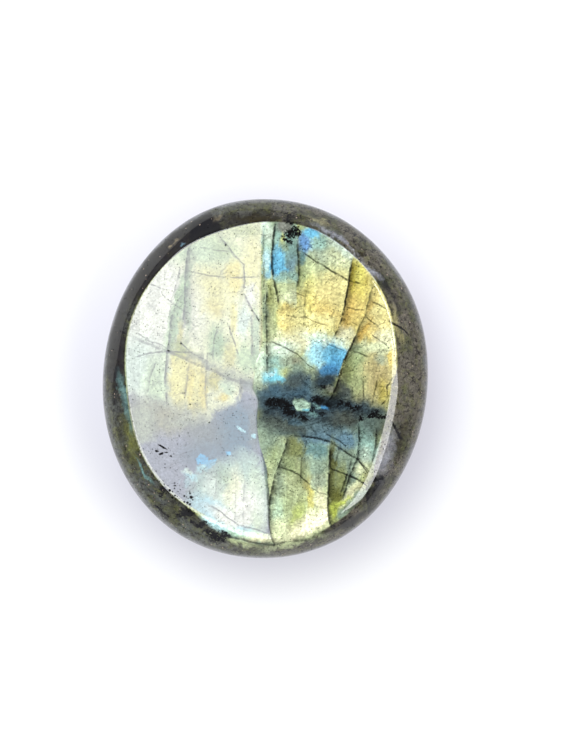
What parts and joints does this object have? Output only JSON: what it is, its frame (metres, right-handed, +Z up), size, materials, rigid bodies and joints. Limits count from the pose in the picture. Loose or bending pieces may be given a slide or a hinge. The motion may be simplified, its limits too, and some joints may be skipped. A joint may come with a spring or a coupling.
{
  "type": "polished labradorite palm stone",
  "caption": "Smooth oval palm stone of polished labradorite, with a gently domed flashing face, rounded sides and a flat base. Held in the hand, or laid out as a display stone.",
  "frame": {"origin": "middle of the stone's outline, on the flat base it rests on", "axes": "+Z up out of the domed polished face, +Y along the long axis towards the top of the picture, +X across to the right of the picture"},
  "size_m": [0.0526, 0.058, 0.018],
  "materials": {
    "labradorite": "polished"
  },
  "bodies": {
    "root": {"palm_stone": "labradorite"}
  },
  "joints": []
}
